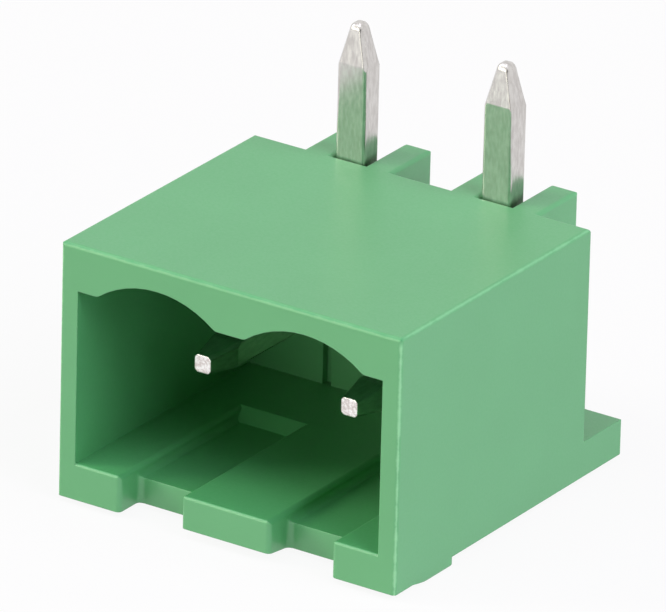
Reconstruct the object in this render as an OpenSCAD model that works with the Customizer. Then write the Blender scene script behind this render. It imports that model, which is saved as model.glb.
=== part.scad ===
// Two-way right-angle pin header for a pluggable terminal block.
// It stands as it lies on a bench: board face and solder legs up, plug opening to the front.
// Units are millimetres. X runs along the row of contacts, Y from the front rim to the rear, Z up.

/* [Shroud] */
// Distance between the two contacts
pitch = 5.08; // [4.6:0.01:7.62]
// From a contact's centre to the nearer side face
end_margin = 3.31; // [3:0.01:4.5]
// Depth of the shroud from front rim to rear face
shroud_depth = 9.87; // [8:0.01:14]
// Height of the shroud from underside to board face
shroud_h = 7.85; // [7:0.01:10]
// Thickness of the two side walls
side_wall = 0.6; // [0.4:0.01:0.9]
// Thickness of the wall that the contacts pass through
rear_wall = 0.87; // [0.6:0.01:1.5]
// Thickness of the floor under the plug
floor_t = 1; // [0.8:0.01:1.5]
// Thickness of the wall on the board side, between the scallops
board_wall = 1.43; // [1.1:0.01:2]
// Rounding of the outer edges
edge_r = 0.12; // [0.05:0.01:0.25]

/* [Plug guides] */
// Width of each scallop over a contact
scallop_w = 4.06; // [3:0.01:4.5]
// Rise of each scallop above the ceiling
scallop_rise = 0.7; // [0.3:0.01:0.9]
// Rounding where a scallop runs out into the ceiling
scallop_blend_r = 0.3; // [0.05:0.01:0.4]
// Width of the floor tab between the two grooves
tab_w = 3.06; // [2:0.01:3.6]
// Width of the floor left beside each side face
end_land_w = 2.18; // [1.5:0.01:2.6]
// Depth of the grooves in the floor
groove_depth = 0.35; // [0.2:0.01:0.6]
// Distance from the front rim to the far end of a groove
groove_len = 6.35; // [4:0.01:7.5]
// Length of the ramp that ends a groove
groove_ramp = 0.45; // [0.2:0.01:1]
// Distance that the rim is set back at a groove
notch_depth = 1.02; // [0.5:0.01:1.8]
// Width of the slot under each contact, in the rear wall
slot_w = 0.3; // [0.2:0.01:0.5]
// Depth of that slot
slot_depth = 0.25; // [0.1:0.01:0.4]
// Radius in the inner corners of the grooves and notches
groove_r = 0.2; // [0.05:0.01:0.3]
// Rounding of the grooves' upper edges and of the rim beside the notches
rim_r = 0.15; // [0.05:0.01:0.25]
// Rounding of the floor's front edge
floor_edge_r = 0.08; // [0.03:0.01:0.15]
// Rise of the lead-in under the middle tab
tab_lead_h = 0.12; // [0.05:0.01:0.3]

/* [Latch nose] */
// Height of the nose below the underside
nose_h = 0.32; // [0.2:0.01:0.6]
// Height of the rim's lower edge below the underside
lip_h = 0.14; // [0:0.01:0.19]
// Distance from the front rim to the start of the nose's ramp
nose_start = 0.95; // [0.5:0.01:1.2]
// Length of the nose's ramp
nose_ramp = 0.9; // [0.4:0.01:1.4]
// Distance from the front rim to the latching step
nose_len = 2.97; // [2.7:0.01:4]
// Rounding of the latching step's lower edge
nose_r = 0.1; // [0.03:0.01:0.15]

/* [Rear flange and cheeks] */
// Reach of the flange behind the shroud
flange_reach = 2.1; // [1.5:0.01:3]
// Thickness of the flange
flange_h = 1.11; // [0.8:0.01:1.6]
// Thickness of the cheeks beside each solder leg
cheek_t = 0.93; // [0.6:0.01:1.2]
// Reach of the cheeks behind the shroud
cheek_reach = 2.1; // [1.2:0.01:3]
// Gap between a solder leg and its cheeks
cheek_gap = 0.1; // [0.04:0.01:0.2]
// Rounding of the cheeks' rear corners beside the solder leg
cheek_lead_r = 0.35; // [0.1:0.01:0.45]
// Rounding of the cheeks' other rear corners
cheek_r = 0.1; // [0.05:0.01:0.25]
// Rounding of the cheeks' upper edges
cheek_edge_r = 0.13; // [0.03:0.01:0.2]

/* [Contacts] */
// Width of the contact wire
wire_w = 1; // [0.8:0.01:1.2]
// Thickness of the contact wire
wire_t = 0.8; // [0.6:0.01:1]
// Rounding of the wire's long edges
wire_edge_r = 0.1; // [0.03:0.01:0.2]
// Inside radius of the bend
bend_r = 0.25; // [0.1:0.01:0.5]
// Depth of the contact's axis below the board face
axis_depth = 3.86; // [3.2:0.01:4.4]
// Distance from the front rim to the contact's tip
tip_setback = 2.45; // [1.5:0.01:4]
// Length of the tapered plug end
plug_taper = 1.1; // [0.5:0.01:1.6]
// Width of the flat at the plug end
plug_tip = 0.55; // [0.3:0.01:0.6]
// Diameter that rounds the corners of that flat
plug_turn = 0.66; // [0.4:0.01:0.7]
// Length of a solder leg above the board face
solder_len = 4.25; // [3:0.01:5]
// Length of the tapered solder end
solder_taper = 1.27; // [0.6:0.01:1.8]
// Radius of the rounded solder tip
solder_tip_r = 0.25; // [0.1:0.01:0.28]
// Radius that rounds the ridges of the solder tip
solder_turn_r = 0.29; // [0.15:0.01:0.35]
// Depth to which turning eases the ridges at the shoulders
ridge_ease = 0.03; // [0.01:0.005:0.06]
// Clearance between the wire and its hole
wire_fit = 0.02; // [0.01:0.005:0.05]
// Gap between a solder leg and the shroud's rear face
leg_gap = 0.025; // [0.025:0.005:0.1]

/* [Hidden] */
$fn = 64;

// Cuts run past the faces they open by this much
over = 1;

// The turned outline of a solder tip stands this much higher than the formed ones, so that they cross
turn_lap = 0.01;

// A blend's circle reaches past the outlines that it meets by this much, so that they cross
blend_lap = 0.002;

shroud_w = pitch + 2 * end_margin;
overall_depth = shroud_depth + max(flange_reach, cheek_reach);
contact_xs = [-pitch / 2, pitch / 2];

cavity_w = shroud_w - 2 * side_wall;
cavity_depth = shroud_depth - rear_wall;
ceiling_z = shroud_h - board_wall;
scallop_r = (pow(scallop_w / 2, 2) + pow(scallop_rise, 2)) / (2 * scallop_rise);
scallop_z = ceiling_z + scallop_rise - scallop_r;

groove_w = shroud_w / 2 - end_land_w - tab_w / 2;
groove_mid = tab_w / 2 + groove_w / 2;
groove_z = floor_t - groove_depth;
groove_edge_r = min(rim_r, groove_depth / 2);
groove_foot_r = min(groove_r, groove_depth - groove_edge_r);

channel_w = wire_w + 2 * cheek_gap;
axis_z = shroud_h - axis_depth;
leg_y = shroud_depth + leg_gap + wire_t / 2;
bend_mid_r = bend_r + wire_t / 2;
bend_y = leg_y - bend_mid_r;
bend_z = axis_z + bend_mid_r;
plug_len = bend_y - tip_setback;
turn_w = 2 * (norm([wire_w / 2 - wire_edge_r, wire_t / 2 - wire_edge_r]) + wire_edge_r - ridge_ease);
leg_len = shroud_h + solder_len - bend_z;

housing_green = "#5fae78";
tin_grey = "#c9c6c0";

// Moves a piece from the front rim and underside to the frame's origin, under the middle of the part.
module to_origin() {
    translate([0, -overall_depth / 2, nose_h]) children();
}

// Extrudes a front view, drawn in X and Z, from y0 to y1.
module along_y(y0, y1) {
    translate([0, y1, 0]) rotate([90, 0, 0]) linear_extrude(y1 - y0) children();
}

// Extrudes a side view, drawn in Y and Z, over a width centred on x = 0.
module across_x(width) {
    rotate([90, 0, 90]) linear_extrude(width, center = true) children();
}

// A rectangle with rounded corners and its lower left corner at the origin.
module rounded_rect(size, r) {
    translate([r, 0]) square([size.x - 2 * r, size.y]);
    translate([0, r]) square([size.x, size.y - 2 * r]);
    for (x = [r, size.x - r], y = [r, size.y - r]) translate([x, y]) circle(r);
}

// A rounded rectangle centred on the origin.
module centred_rect(size, r) {
    translate(-size / 2) rounded_rect(size, r);
}

// Side view of the moulding: shroud, rear flange and the latch nose under the rim.
module side_view() {
    rounded_rect([shroud_depth, shroud_h], edge_r);
    translate([shroud_depth - flange_h, 0]) rounded_rect([flange_h + flange_reach, flange_h], edge_r);
    polygon([
        [0, floor_t], [0, -lip_h], [nose_start, -lip_h], [nose_start + nose_ramp, -nose_h],
        [nose_len - nose_r, -nose_h], [nose_len - nose_r, floor_t]
    ]);
    translate([nose_start + nose_ramp, -nose_h])
        rounded_rect([nose_len - nose_start - nose_ramp, nose_h + floor_t], nose_r);
}

// The outer block: three views meet, and each one rounds the edges that it sees end on.
module outer_block() {
    intersection() {
        across_x(shroud_w) side_view();
        along_y(0, shroud_depth + flange_reach)
            translate([-shroud_w / 2, -nose_h]) rounded_rect([shroud_w, shroud_h + nose_h], edge_r);
        translate([-shroud_w / 2, 0, -nose_h]) linear_extrude(shroud_h + nose_h)
            rounded_rect([shroud_w, shroud_depth + flange_reach], edge_r);
    }
}

// Plan of a cheek to the right of its leg, from its root to its rear corners, which differ in rounding.
module cheek_plan(root) {
    translate([-cheek_t / 2, 0]) square([cheek_t, root / 2]);
    intersection() {
        translate([-cheek_t / 2, 0]) rounded_rect([2 * cheek_t, root], cheek_lead_r);
        translate([-3 * cheek_t / 2, 0]) rounded_rect([2 * cheek_t, root], cheek_r);
    }
}

// Two cheeks beside each solder leg, level with the board face and rooted in the flange.
module cheeks() {
    root = cheek_reach + rear_wall / 2;
    height = shroud_h - flange_h / 2;
    for (x = contact_xs, side = [0, 1])
        translate([x, shroud_depth + cheek_reach - root, flange_h / 2]) mirror([side, 0, 0])
            translate([(channel_w + cheek_t) / 2, 0, 0]) intersection() {
                linear_extrude(height) cheek_plan(root);
                along_y(-over, root + over)
                    translate([-cheek_t / 2, -over]) rounded_rect([cheek_t, height + over], cheek_edge_r);
                across_x(cheek_t + over)
                    translate([-over, -over]) rounded_rect([root + over, height + over], cheek_edge_r);
            }
}

// Front view of one scallop, over x = 0.
module scallop() {
    intersection() {
        translate([0, scallop_z]) circle(scallop_r);
        translate([-scallop_w / 2, ceiling_z - over]) square([scallop_w, scallop_rise + over]);
    }
    for (side = [0, 1]) mirror([side, 0]) scallop_blend();
}

// What the rounding takes off the corner between scallop and ceiling. Its circle meets both of them.
module scallop_blend() {
    rise = ceiling_z + scallop_blend_r - scallop_z;
    reach = sqrt(pow(scallop_r + scallop_blend_r, 2) - pow(rise, 2));
    centre = [reach, scallop_z + rise];
    inside = centre - 2 * scallop_blend_r * [reach, rise] / (scallop_r + scallop_blend_r);
    below_z = ceiling_z - 2 * scallop_blend_r;
    difference() {
        polygon([centre, inside, [inside.x, below_z], [reach, below_z]]);
        translate(centre) circle(scallop_blend_r + blend_lap);
    }
}

// Front view of the plug opening, with one scallop over each contact.
module opening_view() {
    translate([-cavity_w / 2, floor_t]) square([cavity_w, ceiling_z - floor_t]);
    for (x = contact_xs) translate([x, 0]) scallop();
}

// What a rounding takes off a corner at the origin, whose faces run along +X and down Y.
module eased_corner(r) {
    difference() {
        translate([-r, -r]) square([2 * r, r + over]);
        translate([r, -r]) circle(r);
    }
}

// Front view of a guide groove, with rounded corners at its foot and along its upper edges.
module groove_view() {
    translate([-groove_w / 2, groove_z]) rounded_rect([groove_w, groove_depth + over], groove_foot_r);
    for (side = [0, 1]) mirror([side, 0]) translate([groove_w / 2, floor_t]) eased_corner(groove_edge_r);
}

// One guide groove, which ends in a ramp.
module groove() {
    intersection() {
        along_y(-over, groove_len) groove_view();
        across_x(groove_w + over) polygon([
            [-over, groove_z], [groove_len - groove_ramp, groove_z], [groove_len, floor_t],
            [groove_len, floor_t + groove_r], [-over, floor_t + groove_r]
        ]);
    }
}

// The set-back of the rim in front of a groove, cut right through the floor.
module notch() {
    translate([0, 0, -nose_h - over]) linear_extrude(floor_t + nose_h + over + groove_r) union() {
        translate([-groove_w / 2, -over]) rounded_rect([groove_w, over + notch_depth], groove_r);
        for (side = [0, 1]) mirror([side, 0])
            translate([groove_w / 2, 0]) mirror([0, 1]) eased_corner(rim_r);
    }
}

// The lead-in under the middle tab: its underside rises towards the rim.
module tab_lead() {
    across_x(tab_w + groove_w) polygon([
        [nose_start, -lip_h], [0, tab_lead_h - lip_h], [-over, tab_lead_h - lip_h],
        [-over, -nose_h - over], [nose_start, -nose_h - over]
    ]);
}

// The upright slot in the rear wall, from the floor to the contact's hole.
module wall_slot() {
    translate([-slot_w / 2, cavity_depth - over, floor_t])
        cube([slot_w, over + slot_depth, axis_z - floor_t]);
}

// The one-piece moulded shroud, with a hole in its rear wall for each contact.
module housing() {
    color(housing_green) to_origin() difference() {
        union() {
            outer_block();
            cheeks();
        }
        along_y(-over, cavity_depth) opening_view();
        tab_lead();
        across_x(cavity_w) translate([0, floor_t]) eased_corner(floor_edge_r);
        for (side = [-1, 1]) translate([side * groove_mid, 0, 0]) {
            groove();
            notch();
        }
        for (x = contact_xs) translate([x, 0, 0]) {
            wire_hole();
            wall_slot();
        }
    }
}

// Section of the wire, grown on every side.
module wire_section(grow) {
    centred_rect([wire_w + 2 * grow, wire_t + 2 * grow], wire_edge_r + grow);
}

// The quarter turn from the plug leg, which points to the front, to the solder leg, which points up.
module wire_bend(grow) {
    translate([0, bend_y, bend_z]) rotate([0, 90, 0]) rotate_extrude(angle = 90)
        translate([bend_mid_r, 0]) rotate(90) wire_section(grow);
}

// The room that a contact takes up in the rear wall: a straight hole that opens along the bend.
module wire_hole() {
    translate([0, bend_y, axis_z]) rotate([90, 0, 0]) linear_extrude(plug_len) wire_section(wire_fit);
    wire_bend(wire_fit);
    translate([0, leg_y, bend_z]) linear_extrude(leg_len) wire_section(wire_fit);
}

// Outline that forms a flat tapered end. Its flanks run on past the shoulders, clear of the wire.
module flat_end(tip, width, length) {
    slope = (width - tip) / 2 / plug_taper;
    polygon([
        [-tip / 2, length], [tip / 2, length],
        [tip / 2 + slope * length, 0], [-tip / 2 - slope * length, 0]
    ]);
}

// Outline that forms a rounded tapered end. Its flanks meet the tip's circle and run on past the shoulders.
module round_end(tip_r, width, length) {
    tip = [0, length - tip_r];
    reach = [width / 2, length - solder_taper] - tip;
    angle = atan2(reach.y, reach.x) + acos(tip_r / norm(reach));
    touch = tip + tip_r * [cos(angle), sin(angle)];
    foot = [touch.x + touch.y * tan(angle), 0];
    polygon([[-touch.x, touch.y], touch, foot, [-foot.x, foot.y]]);
    translate(tip) circle(tip_r);
}

// A straight leg of wire standing on the origin. One outline forms it in front view, one in side view,
// and one is turned about its axis to round the ridges.
module formed_leg(length) {
    reach = wire_w + wire_t;
    intersection() {
        linear_extrude(length) wire_section(0);
        along_y(-reach, reach) children(0);
        rotate(90) along_y(-reach, reach) children(1);
        rotate_extrude() intersection() {
            children(2);
            square([reach + length, length + over]);
        }
    }
}

// One contact: a bent wire with a tapered plug end and a rounded solder end.
module contact_pin(x) {
    color(tin_grey) to_origin() translate([x, 0, 0]) {
        translate([0, bend_y, axis_z]) rotate([90, 0, 0]) formed_leg(plug_len) {
            flat_end(plug_tip, wire_w, plug_len);
            flat_end(plug_tip, wire_t, plug_len);
            flat_end(plug_turn, turn_w, plug_len);
        }
        wire_bend(0);
        translate([0, leg_y, bend_z]) formed_leg(leg_len) {
            round_end(solder_tip_r, wire_w, leg_len);
            round_end(solder_tip_r, wire_t, leg_len);
            round_end(solder_turn_r, turn_w, leg_len + turn_lap);
        }
    }
}

module contact_pin_left() {
    contact_pin(contact_xs[0]);
}

module contact_pin_right() {
    contact_pin(contact_xs[1]);
}

housing();
contact_pin_left();
contact_pin_right();
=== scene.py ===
import math

import bpy
import numpy as np
from mathutils import Matrix, Vector


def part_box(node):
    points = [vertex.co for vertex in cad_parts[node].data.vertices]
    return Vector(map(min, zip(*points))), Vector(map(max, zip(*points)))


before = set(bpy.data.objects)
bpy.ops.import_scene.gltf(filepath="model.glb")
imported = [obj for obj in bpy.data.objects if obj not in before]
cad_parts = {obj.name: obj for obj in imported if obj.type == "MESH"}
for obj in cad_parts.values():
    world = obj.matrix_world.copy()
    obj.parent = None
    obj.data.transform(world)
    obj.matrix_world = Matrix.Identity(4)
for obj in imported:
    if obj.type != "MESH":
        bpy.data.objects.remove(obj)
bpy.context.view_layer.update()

MM = 0.001
SCENE = bpy.context.scene

# The housing's lowest and highest corners and the front end of a contact, in metres.
HOUSING_LOW, HOUSING_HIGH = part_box("housing")
PLUG_END_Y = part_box("contact_pin_left")[0].y

# The camera stands off far enough to look almost parallel, to the right of the plug opening and above it.
AIM_MM = (0.0294, -0.6733, 5.8112)
CAMERA_DISTANCE_MM = 380.682
CAMERA_AZIMUTH_DEG = 33.204
CAMERA_ELEVATION_DEG = 23.647
CAMERA_ROLL_DEG = 1.451
CAMERA_NEAR_M = 0.01
LENS_MM = 714.03
SENSOR_MM = 36.0

# The floor lies just under the latch nose. A small share of what is seen of it is lit paper, which keeps the
# shadow, and the rest is plain white.
FLOOR_Z_MM = -0.02
FLOOR_REACH_M = 4.0
FLOOR_COLOUR = "#D8D8D8"
FLOOR_SHADOW_SHARE = 0.08

# A tall softbox stands to the right. A small one to the left draws the shadows in the plug opening, a wide
# low one in front lights the rear wall, and one hangs above. Each is azimuth and elevation in degrees, width
# and height in metres, power in watts, and the lamp's colour.
SOFTBOXES = {
    "right_softbox": (84.0, 36.0, 0.7, 0.9, 10.9, "#F6E9FF"),
    "left_softbox": (-62.0, 26.0, 0.3, 0.3, 4.2, "#FFFFEA"),
    "front_softbox": (-18.0, 9.0, 0.9, 0.28, 2.4, "#FFFFEA"),
    "high_softbox": (-25.0, 66.0, 0.5, 0.5, 3.0, "#F2F0FF"),
}
SOFTBOX_DISTANCE_M = 0.9

# This softbox stays out of reflections, where its stripes along the tin's ridges would clip to white.
UNMIRRORED_SOFTBOX = "right_softbox"

# The dark room behind the camera shows only in reflections: a card of this width, height and distance.
CARD_M = (0.24, 0.3, 0.45)
CARD_COLOUR = "#3A3632"

# How much the white studio fills the shadows, and how bright it is where it is seen.
STUDIO_FILL = 0.01
STUDIO_SEEN = 1.0

# The plastic: its greens, the greens of the painted shade and painted highlight on its edges, the sizes of
# its patterns, how far light spreads in it, and its roughness.
MOULDED_GREENS = ("#4D9E61", "#53A567")
# The second pair is painted: a painted shade on the front upper edge, a painted highlight on the others.
EDGE_SHADE_AND_HIGHLIGHT_GREENS = ("#40935D", "#94D49C")
MELT_CLOUD_MM = 2.5
TOOL_GRAIN_MM = 0.09
TOOL_GRAIN_HEIGHT_MM = 0.006
LIGHT_SPREAD_MM = 1.0
SATIN_ROUGHNESS = (0.36, 0.46)
CHAFED_ROUGHNESS = 0.8

# Its outer edges are rubbed most at the core, which dulls them, and the rubbing fades out at a reach that
# changes along them. The same places carry a painted highlight: the upright edges are palest, those along the
# sides less so, and the front upper one gets a painted shade instead, darker than the plastic. The painted
# highlight changes over a stretch from one to the next.
RUB_AND_HIGHLIGHT_PATCH_MM = 0.5
RUB_AND_HIGHLIGHT_CORE_MM = 0.02
RUB_AND_HIGHLIGHT_REACH_MM = (0.05, 0.11)
SIDE_EDGE_HIGHLIGHT = 0.7
EDGE_HIGHLIGHT_FADE_MM = (0.05, 0.3)

# The tin: its greys on the plated wire, the brighter greys of a painted highlight on the sheared ends,
# its roughness, and its drawing marks, whose pattern has this scale along the wire.
PLATED_GREYS = ("#C5C1BE", "#D5D2CF")
SHEARED_END_HIGHLIGHT_GREYS = ("#D6CDC9", "#FBF9F7")
TIN_ROUGHNESS = (0.18, 0.24)
DRAWING_MARK_MM = 0.1
DRAWING_MARK_HEIGHT_MM = 0.003
DRAWING_MARK_STRETCH = 0.3

# How far back the wire turns up, along Y, and how much of its front end is sheared and takes the painted
# highlight.
WIRE_TURN_MM = 3.7
SHEAR_DEPTH_MM = 0.035

# The eased edges that moulding leaves, and the worn ridges of the formed wire.
MOULD_EDGE_MM = 0.04
WIRE_RIDGE_MM = 0.06
EDGE_SAMPLES = 6

# The part of a noise's values that is spread over a whole range: more for the grain, less for blotches.
GRAIN_SPAN = (0.3, 0.7)
BLOTCH_SPAN = (0.35, 0.65)


def linear(hex_colour):
    """The linear RGBA of an sRGB hex colour."""
    srgb = np.array([int(hex_colour[i:i + 2], 16) for i in (1, 3, 5)]) / 255.0
    value = np.where(srgb <= 0.04045, srgb / 12.92, ((srgb + 0.055) / 1.055) ** 2.4)
    return (*value.tolist(), 1.0)


def per_mm(size_mm):
    """The texture scale that makes one feature of a pattern this many millimetres wide."""
    return 1.0 / (size_mm * MM)


def add(nodes, kind, inputs, **settings):
    """Adds one shader node with its settings; each input is a constant or another node's output.

    A Mix node's inputs go by number: 0 is its factor, 2 and 3 are numbers, 4 and 5 vectors, 6 and 7 colours.
    Its outputs are 0 for a number, 1 for a vector and 2 for a colour.
    """
    made = nodes.new("ShaderNode" + kind)
    for name, value in settings.items():
        setattr(made, name, value)
    for key, value in inputs.items():
        if isinstance(value, bpy.types.NodeSocket):
            nodes.id_data.links.new(value, made.inputs[key])
        else:
            made.inputs[key].default_value = value
    return made


def new_material(name):
    """An empty node material and its nodes."""
    material = bpy.data.materials.new(name)
    material.use_nodes = True
    material.node_tree.nodes.clear()
    return material, material.node_tree.nodes


def rub_and_edge_highlight(nodes, place):
    """How strongly the housing is rubbed here, which also lays a painted colour on its edges, and where that
    colour lies between painted shade and painted highlight, each from 0 to 1.

    The middle one of the distances to a side, the front and the board face is the distance to the nearest
    edge between two of them.
    """
    axes = add(nodes, "SeparateXYZ", {"Vector": place}).outputs
    across = add(nodes, "Math", {0: axes["X"]}, operation="ABSOLUTE").outputs["Value"]
    to_side = add(nodes, "Math", {0: HOUSING_HIGH.x, 1: across}, operation="SUBTRACT").outputs["Value"]
    to_front = add(nodes, "Math", {0: axes["Y"], 1: HOUSING_LOW.y}, operation="SUBTRACT").outputs["Value"]
    to_top = add(nodes, "Math", {0: HOUSING_HIGH.z, 1: axes["Z"]}, operation="SUBTRACT").outputs["Value"]
    nearer = add(nodes, "Math", {0: to_side, 1: to_front}, operation="MINIMUM").outputs["Value"]
    farther = add(nodes, "Math", {0: to_side, 1: to_front}, operation="MAXIMUM").outputs["Value"]
    upper = add(nodes, "Math", {0: farther, 1: to_top}, operation="MINIMUM").outputs["Value"]
    to_edge = add(nodes, "Math", {0: nearer, 1: upper}, operation="MAXIMUM").outputs["Value"]
    patches = add(nodes, "TexNoise", {
        "Vector": place,
        "Scale": per_mm(RUB_AND_HIGHLIGHT_PATCH_MM),
        "Detail": 4.0,
        "Roughness": 0.7,
    })
    reach = add(nodes, "MapRange", {
        "Value": patches.outputs["Fac"],
        "From Min": BLOTCH_SPAN[0],
        "From Max": BLOTCH_SPAN[1],
        "To Min": RUB_AND_HIGHLIGHT_REACH_MM[0] * MM,
        "To Max": RUB_AND_HIGHLIGHT_REACH_MM[1] * MM,
    })
    rub_and_highlight = add(nodes, "MapRange", {
        "Value": to_edge,
        "From Min": RUB_AND_HIGHLIGHT_CORE_MM * MM,
        "From Max": reach.outputs["Result"],
        "To Min": 1.0,
        "To Max": 0.0,
    })
    # From painted shade to painted highlight: most on the upright edges, less on the sides, none at the front
    # top.
    upright, side = (
        add(nodes, "MapRange", {
            "Value": distance,
            "From Min": EDGE_HIGHLIGHT_FADE_MM[0] * MM,
            "From Max": EDGE_HIGHLIGHT_FADE_MM[1] * MM,
            "To Max": most,
        }).outputs["Result"]
        for distance, most in ((to_top, 1.0), (to_front, SIDE_EDGE_HIGHLIGHT))
    )
    shade_to_highlight = add(nodes, "Math", {0: upright, 1: side}, operation="MAXIMUM")
    return rub_and_highlight.outputs["Result"], shade_to_highlight.outputs["Value"]


def moulded_green_polyamide():
    """Injection-moulded polyamide, pigmented green, from a spark-eroded tool.

    It gives the eye an even satin green, greener head-on and paler where the white studio glances off it,
    with a very fine grain, faint clouds where the melt flowed, and outer edges rubbed dull, with a painted
    highlight on most of them and a painted shade on the front upper one.
    """
    material, nodes = new_material("moulded_green_polyamide")
    place = add(nodes, "TexCoord", {}).outputs["Object"]
    clouds = add(nodes, "TexNoise", {"Vector": place, "Scale": per_mm(MELT_CLOUD_MM), "Detail": 2.0})
    grain = add(nodes, "TexNoise", {
        "Vector": place,
        "Scale": per_mm(TOOL_GRAIN_MM),
        "Detail": 3.0,
        "Roughness": 0.6,
    }).outputs["Fac"]
    rub_and_highlight, shade_to_highlight = rub_and_edge_highlight(nodes, place)
    # The rubbed edges take a painted colour: painted shade on the front upper edge, painted highlight
    # elsewhere.
    moulded, edge_shade_and_highlight = (
        add(nodes, "Mix", {0: share, 6: linear(dark), 7: linear(light)}, data_type="RGBA").outputs[2]
        for share, (dark, light) in ((clouds.outputs["Fac"], MOULDED_GREENS), (shade_to_highlight, EDGE_SHADE_AND_HIGHLIGHT_GREENS))
    )
    colour = add(nodes, "Mix", {0: rub_and_highlight, 6: moulded, 7: edge_shade_and_highlight}, data_type="RGBA")
    satin = add(nodes, "MapRange", {
        "Value": grain,
        "From Min": GRAIN_SPAN[0],
        "From Max": GRAIN_SPAN[1],
        "To Min": SATIN_ROUGHNESS[0],
        "To Max": SATIN_ROUGHNESS[1],
    })
    roughness = add(nodes, "Mix", {0: rub_and_highlight, 2: satin.outputs["Result"], 3: CHAFED_ROUGHNESS})
    eased = add(nodes, "Bevel", {"Radius": MOULD_EDGE_MM * MM}, samples=EDGE_SAMPLES)
    relief = add(nodes, "Bump", {
        "Height": grain,
        "Strength": 0.25,
        "Distance": TOOL_GRAIN_HEIGHT_MM * MM,
        "Normal": eased.outputs["Normal"],
    })
    surface = add(nodes, "BsdfPrincipled", {
        "Base Color": colour.outputs[2],
        "Roughness": roughness.outputs[0],
        "Normal": relief.outputs["Normal"],
        "IOR": 1.53,
        "Specular IOR Level": 1.0,
        "Subsurface Weight": 0.1,
        "Subsurface Radius": (0.25, 0.5, 0.25),
        "Subsurface Scale": LIGHT_SPREAD_MM * MM,
    })
    add(nodes, "OutputMaterial", {"Surface": surface.outputs["BSDF"]})
    return material


def tinned_drawn_wire():
    """Copper alloy wire, drawn, bent and then tin plated.

    It gives the eye a pale grey metal, soft as satin, with ridges worn round, drawing marks along the wire
    and sheared plug ends painted brighter, a painted highlight. Real marks are a few hundredths of a
    millimetre wide, so they are drawn coarser to be seen.
    """
    material, nodes = new_material("tinned_drawn_wire")
    place = add(nodes, "TexCoord", {}).outputs["Object"]
    along_y = add(nodes, "Mapping", {"Vector": place, "Scale": (1.0, DRAWING_MARK_STRETCH, 1.0)})
    along_z = add(nodes, "Mapping", {"Vector": place, "Scale": (1.0, 1.0, DRAWING_MARK_STRETCH)})
    from_front = add(nodes, "SeparateXYZ", {"Vector": place}).outputs["Y"]
    upright = add(nodes, "Math", {0: from_front, 1: WIRE_TURN_MM * MM}, operation="GREATER_THAN")
    along = add(nodes, "Mix", {
        0: upright.outputs["Value"],
        4: along_y.outputs["Vector"],
        5: along_z.outputs["Vector"],
    }, data_type="VECTOR")
    marks = add(nodes, "TexNoise", {
        "Vector": along.outputs[1],
        "Scale": per_mm(DRAWING_MARK_MM),
        "Detail": 2.0,
    }).outputs["Fac"]
    mottle = add(nodes, "MapRange", {
        "Value": marks,
        "From Min": BLOTCH_SPAN[0],
        "From Max": BLOTCH_SPAN[1],
    }).outputs["Result"]
    # The sheared ends get brighter greys, a painted highlight.
    plated, end_highlight = (
        add(nodes, "Mix", {0: mottle, 6: linear(dark), 7: linear(light)}, data_type="RGBA").outputs[2]
        for dark, light in (PLATED_GREYS, SHEARED_END_HIGHLIGHT_GREYS)
    )
    # The front end, where it is sheared, takes that painted highlight.
    sheared = add(nodes, "Math", {0: from_front, 1: PLUG_END_Y + SHEAR_DEPTH_MM * MM}, operation="LESS_THAN")
    colour = add(nodes, "Mix", {0: sheared.outputs["Value"], 6: plated, 7: end_highlight}, data_type="RGBA")
    gloss = add(nodes, "MapRange", {"Value": mottle, "To Min": TIN_ROUGHNESS[0], "To Max": TIN_ROUGHNESS[1]})
    eased = add(nodes, "Bevel", {"Radius": WIRE_RIDGE_MM * MM}, samples=EDGE_SAMPLES)
    relief = add(nodes, "Bump", {
        "Height": marks,
        "Strength": 0.03,
        "Distance": DRAWING_MARK_HEIGHT_MM * MM,
        "Normal": eased.outputs["Normal"],
    })
    surface = add(nodes, "BsdfPrincipled", {
        "Base Color": colour.outputs[2],
        "Roughness": gloss.outputs["Result"],
        "Normal": relief.outputs["Normal"],
        "Metallic": 1.0,
    })
    add(nodes, "OutputMaterial", {"Surface": surface.outputs["BSDF"]})
    return material


def seen_rays(nodes):
    """1 for a ray from the camera, from a reflection or through a clear piece, and 0 for any other."""
    rays = add(nodes, "LightPath", {}).outputs
    seen = add(nodes, "Math", {0: rays["Is Camera Ray"], 1: rays["Is Glossy Ray"]}, operation="MAXIMUM")
    seen = add(nodes, "Math", {0: seen.outputs["Value"], 1: rays["Is Transmission Ray"]}, operation="MAXIMUM")
    return seen.outputs["Value"]


def studio_floor_white():
    """Matt white paper sweep. Seen by the camera or in a reflection it is white, with a faint soft shadow."""
    material, nodes = new_material("studio_floor_white")
    share = add(nodes, "Math", {0: seen_rays(nodes), 1: 1.0 - FLOOR_SHADOW_SHARE}, operation="MULTIPLY")
    paper = add(nodes, "BsdfDiffuse", {"Color": linear(FLOOR_COLOUR)})
    white = add(nodes, "Emission", {"Strength": STUDIO_SEEN})
    both = add(nodes, "MixShader", {
        0: share.outputs["Value"],
        1: paper.outputs["BSDF"],
        2: white.outputs["Emission"],
    })
    add(nodes, "OutputMaterial", {"Surface": both.outputs["Shader"]})
    return material


def dark_room():
    """Matt dark card. It gives the tin's ridges a thin dark line."""
    material, nodes = new_material("dark_room")
    dark = add(nodes, "BsdfDiffuse", {"Color": linear(CARD_COLOUR)})
    add(nodes, "OutputMaterial", {"Surface": dark.outputs["BSDF"]})
    return material


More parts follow.
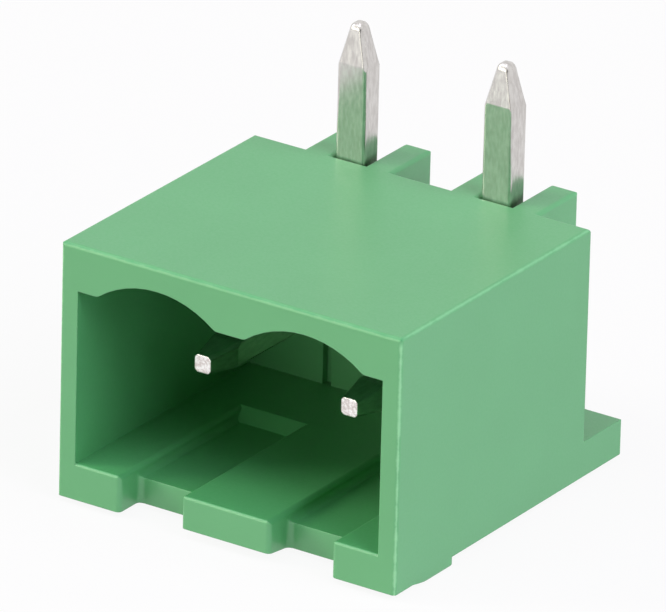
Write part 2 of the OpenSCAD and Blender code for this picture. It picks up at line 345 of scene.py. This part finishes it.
def studio_world():
    """White studio: it fills softly, and reflections and the camera see it as white."""
    world = bpy.data.worlds.new("white_studio")
    world.use_nodes = True
    nodes = world.node_tree.nodes
    nodes.clear()
    level = add(nodes, "MapRange", {"Value": seen_rays(nodes), "To Min": STUDIO_FILL, "To Max": STUDIO_SEEN})
    light = add(nodes, "Background", {"Color": linear("#FFFFFF"), "Strength": level.outputs["Result"]})
    add(nodes, "OutputWorld", {"Surface": light.outputs["Background"]})
    SCENE.world = world


def flat_sheet(name, corners, material):
    """An object of one face, which runs round the four corners in turn."""
    mesh = bpy.data.meshes.new(name)
    mesh.from_pydata(corners.tolist(), [], [(0, 1, 2, 3)])
    mesh.materials.append(material)
    sheet = bpy.data.objects.new(name, mesh)
    SCENE.collection.objects.link(sheet)
    return sheet


def floor_sheet():
    """A square sheet: x and y each run from minus to plus the reach, and z is the floor's height."""
    turns = np.array([[-1.0, -1.0, 0.0], [1.0, -1.0, 0.0], [1.0, 1.0, 0.0], [-1.0, 1.0, 0.0]])
    corners = turns * FLOOR_REACH_M + np.array([0.0, 0.0, FLOOR_Z_MM * MM])
    floor = flat_sheet("studio_floor", corners, studio_floor_white())


def view_from(azimuth_deg, elevation_deg):
    """The unit vector towards a place at this azimuth, from the front to the right, and this elevation."""
    azimuth, elevation = math.radians(azimuth_deg), math.radians(elevation_deg)
    reach = math.cos(elevation)
    return Vector((math.sin(azimuth) * reach, -math.cos(azimuth) * reach, math.sin(elevation)))


def view_right(azimuth_deg):
    """The level unit vector that points to the right, seen from this azimuth."""
    azimuth = math.radians(azimuth_deg)
    return Vector((math.cos(azimuth), math.sin(azimuth), 0.0))


def softbox(name, azimuth_deg, elevation_deg, width_m, height_m, power_w, colour):
    """A rectangular lamp that faces the part."""
    lamp = bpy.data.lights.new(name, "AREA")
    lamp.shape = "RECTANGLE"
    lamp.size = width_m
    lamp.size_y = height_m
    lamp.energy = power_w
    lamp.color = linear(colour)[:3]
    lamp_object = bpy.data.objects.new(name, lamp)
    direction = view_from(azimuth_deg, elevation_deg)
    lamp_object.location = Vector(AIM_MM) * MM + direction * SOFTBOX_DISTANCE_M
    lamp_object.rotation_euler = direction.to_track_quat("Z", "Y").to_euler()
    lamp_object.visible_camera = False
    lamp_object.visible_glossy = name != UNMIRRORED_SOFTBOX
    SCENE.collection.objects.link(lamp_object)


def camera_card():
    """An upright card behind the camera, from the floor up: half its width runs each way across the view."""
    width, height, distance = CARD_M
    across = np.array(view_right(CAMERA_AZIMUTH_DEG)) * width / 2
    foot = np.array(view_from(CAMERA_AZIMUTH_DEG, 0.0)) * distance
    rise = np.array([0.0, 0.0, height])
    corners = np.stack([foot - across, foot + across, foot + across + rise, foot - across + rise])
    card = flat_sheet("camera_card", corners, dark_room())
    card.visible_camera = False
    card.visible_shadow = False
    card.visible_diffuse = False


def camera():
    """Looks at the aim point from the given angles.

    Its Z axis points back from the aim, and the roll turns X and Y.
    """
    roll = math.radians(CAMERA_ROLL_DEG)
    back = view_from(CAMERA_AZIMUTH_DEG, CAMERA_ELEVATION_DEG)
    right = view_right(CAMERA_AZIMUTH_DEG)
    up = back.cross(right)
    across = math.cos(roll) * right + math.sin(roll) * up
    upward = math.cos(roll) * up - math.sin(roll) * right
    data = bpy.data.cameras.new("camera")
    data.lens = LENS_MM
    data.sensor_width = SENSOR_MM
    data.clip_start = CAMERA_NEAR_M
    view = bpy.data.objects.new("camera", data)
    place = Matrix((across, upward, back)).transposed().to_4x4()
    place.translation = (Vector(AIM_MM) + back * CAMERA_DISTANCE_MM) * MM
    view.matrix_world = place
    SCENE.collection.objects.link(view)
    SCENE.camera = view


def dress(node, material):
    """Gives a CAD node its material."""
    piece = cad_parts[node]
    piece.data.materials.clear()
    piece.data.materials.append(material)


camera()
dress("housing", moulded_green_polyamide())
tin = tinned_drawn_wire()
dress("contact_pin_left", tin)
dress("contact_pin_right", tin)
floor_sheet()
camera_card()
for name, facts in SOFTBOXES.items():
    softbox(name, *facts)
studio_world()
SCENE.view_settings.view_transform = "Standard"
